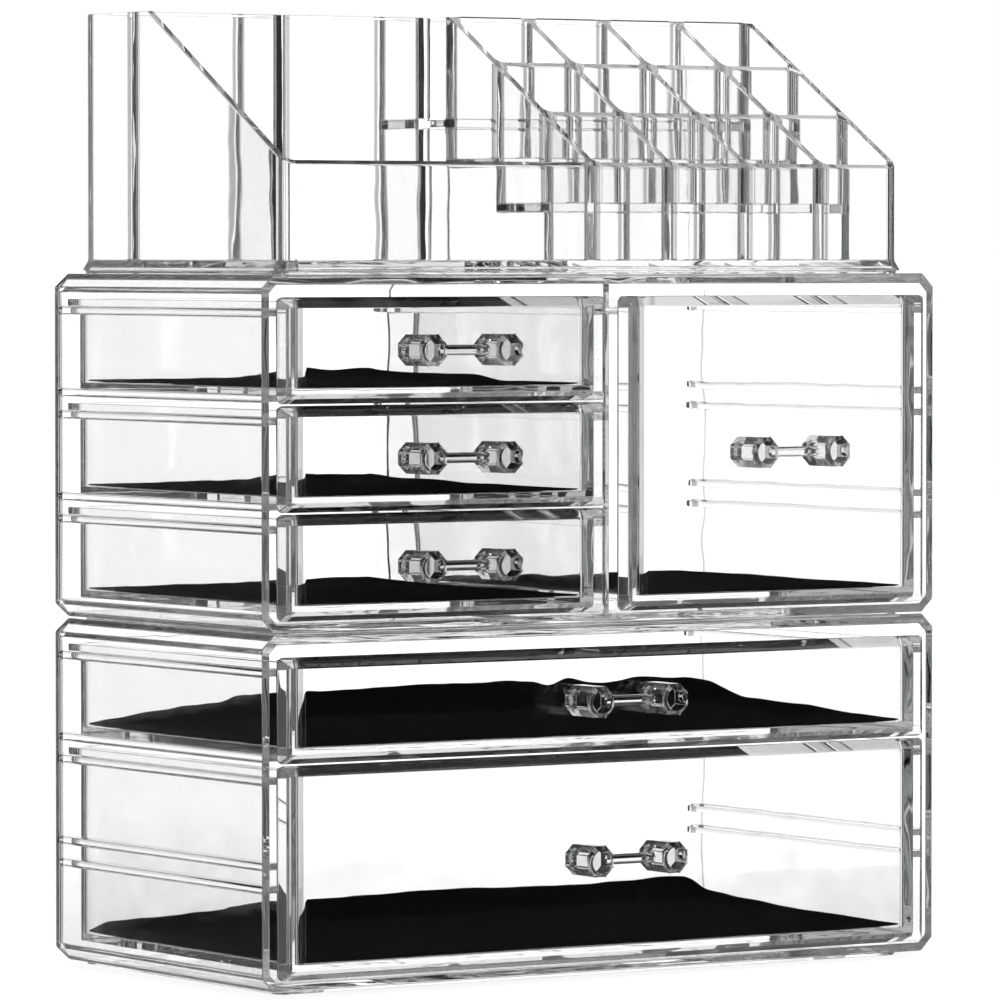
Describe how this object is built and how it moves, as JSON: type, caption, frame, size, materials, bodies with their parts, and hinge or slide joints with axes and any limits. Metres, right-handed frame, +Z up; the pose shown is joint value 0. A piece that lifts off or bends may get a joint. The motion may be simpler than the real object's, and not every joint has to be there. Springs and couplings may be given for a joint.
{
  "type": "makeup organizer with drawers",
  "caption": "Clear makeup organizer: stacked drawer cases with knob-and-bar handles and black mats, under a sloping tray with compartments and lipstick places.",
  "frame": {"origin": "on the table, under the middle of the box that the whole set fills, handles included", "axes": "+Z up; the drawers open towards -Y; +X is to the right as seen from the front"},
  "size_m": [0.24, 0.1412, 0.2876],
  "materials": {
    "case_plastic": "clear moulded, polished",
    "tray_plastic": "clear moulded, polished",
    "drawer_plastic": "clear moulded, polished",
    "handle_plastic": "clear moulded, polished",
    "liner_mat": "matt black mat",
    "foot_rubber": "clear soft bumper"
  },
  "bodies": {
    "lower_case": {"lower_case": "case_plastic", "foot_front_left": "foot_rubber", "foot_front_right": "foot_rubber", "foot_rear_left": "foot_rubber", "foot_rear_right": "foot_rubber"},
    "upper_case": {"upper_case": "case_plastic", "upper_divider": "case_plastic"},
    "top_tray": {"top_tray": "tray_plastic"},
    "drawer_lower_deep": {"drawer_lower_deep": "drawer_plastic", "handle_lower_deep": "handle_plastic", "liner_lower_deep": "liner_mat"},
    "drawer_lower_shallow": {"drawer_lower_shallow": "drawer_plastic", "handle_lower_shallow": "handle_plastic", "liner_lower_shallow": "liner_mat"},
    "drawer_left_bottom": {"drawer_left_bottom": "drawer_plastic", "handle_left_bottom": "handle_plastic", "liner_left_bottom": "liner_mat"},
    "drawer_left_middle": {"drawer_left_middle": "drawer_plastic", "handle_left_middle": "handle_plastic", "liner_left_middle": "liner_mat"},
    "drawer_left_top": {"drawer_left_top": "drawer_plastic", "handle_left_top": "handle_plastic", "liner_left_top": "liner_mat"},
    "drawer_right_tall": {"drawer_right_tall": "drawer_plastic", "handle_right_tall": "handle_plastic", "liner_right_tall": "liner_mat"}
  },
  "joints": [
    {"name": "upper_case_lift", "type": "slide", "parent": "lower_case", "child": "upper_case", "axis": [0, 0, 1], "range_m": [0, 0.06]},
    {"name": "tray_lift", "type": "slide", "parent": "upper_case", "child": "top_tray", "axis": [0, 0, 1], "range_m": [0, 0.06]},
    {"name": "lower_deep_slide", "type": "slide", "parent": "lower_case", "child": "drawer_lower_deep", "axis": [0, -1, 0], "range_m": [0, 0.085]},
    {"name": "lower_shallow_slide", "type": "slide", "parent": "lower_case", "child": "drawer_lower_shallow", "axis": [0, -1, 0], "range_m": [0, 0.085]},
    {"name": "left_bottom_slide", "type": "slide", "parent": "upper_case", "child": "drawer_left_bottom", "axis": [0, -1, 0], "range_m": [0, 0.085]},
    {"name": "left_middle_slide", "type": "slide", "parent": "upper_case", "child": "drawer_left_middle", "axis": [0, -1, 0], "range_m": [0, 0.085]},
    {"name": "left_top_slide", "type": "slide", "parent": "upper_case", "child": "drawer_left_top", "axis": [0, -1, 0], "range_m": [0, 0.085]},
    {"name": "right_tall_slide", "type": "slide", "parent": "upper_case", "child": "drawer_right_tall", "axis": [0, -1, 0], "range_m": [0, 0.085]}
  ]
}
